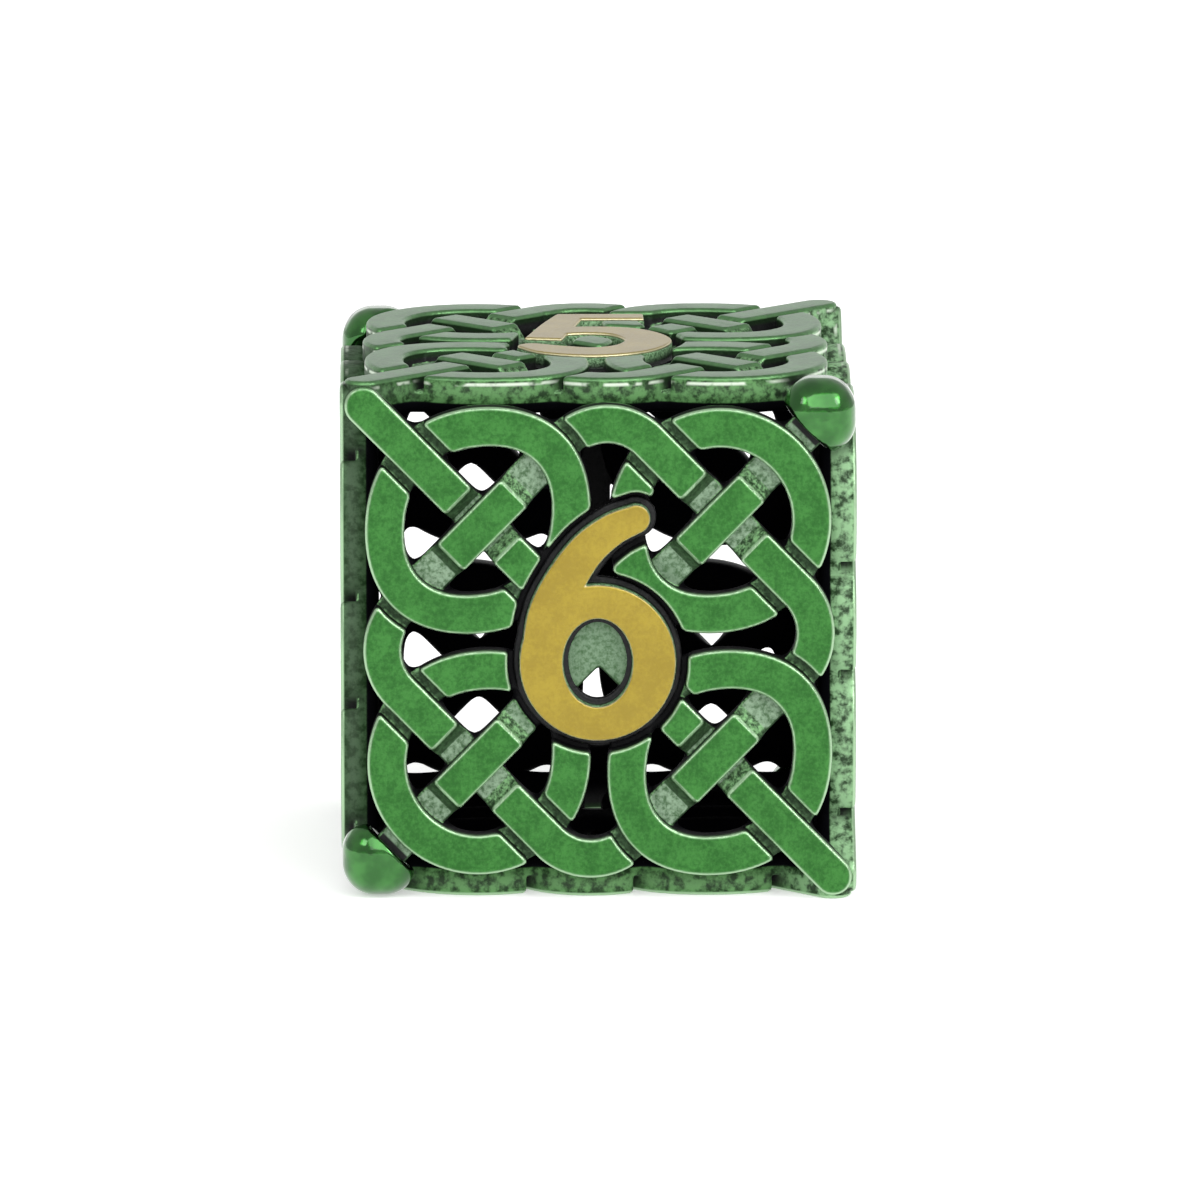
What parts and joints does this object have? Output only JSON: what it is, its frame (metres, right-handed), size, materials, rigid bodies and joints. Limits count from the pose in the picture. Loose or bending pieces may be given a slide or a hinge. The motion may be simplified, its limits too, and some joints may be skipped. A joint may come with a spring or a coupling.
{
  "type": "hollow metal six-sided die",
  "caption": "Hollow openwork cube die with interlaced knot faces, raised numerals in gold and rounded corner beads.",
  "frame": {"origin": "centre of the cube", "axes": "-Z leaves the cube through the face with the 2, which it rests on; -Y through the 6 and +Z through the 5"},
  "size_m": [0.016, 0.016, 0.016],
  "materials": {
    "green_plating": "satin translucent green plating over cast zinc, brighter on worn edges",
    "dark_green_plating": "darkened green plating, mottled",
    "gold_enamel": "satin gold enamel"
  },
  "bodies": {
    "root": {"front_knot_plate": "green_plating", "back_knot_plate": "green_plating", "top_knot_plate": "green_plating", "bottom_knot_plate": "green_plating", "left_knot_plate": "green_plating", "right_knot_plate": "green_plating", "numeral_6_boss": "dark_green_plating", "numeral_1_boss": "dark_green_plating", "numeral_5_boss": "dark_green_plating", "numeral_2_boss": "dark_green_plating", "numeral_3_boss": "dark_green_plating", "numeral_4_boss": "dark_green_plating", "numeral_6_gold_face": "gold_enamel", "numeral_1_gold_face": "gold_enamel", "numeral_5_gold_face": "gold_enamel", "numeral_2_gold_face": "gold_enamel", "numeral_3_gold_face": "gold_enamel", "numeral_4_gold_face": "gold_enamel", "front_right_top_corner_bead": "green_plating", "front_left_bottom_corner_bead": "green_plating", "back_left_top_corner_bead": "green_plating", "back_right_bottom_corner_bead": "green_plating"}
  },
  "joints": []
}
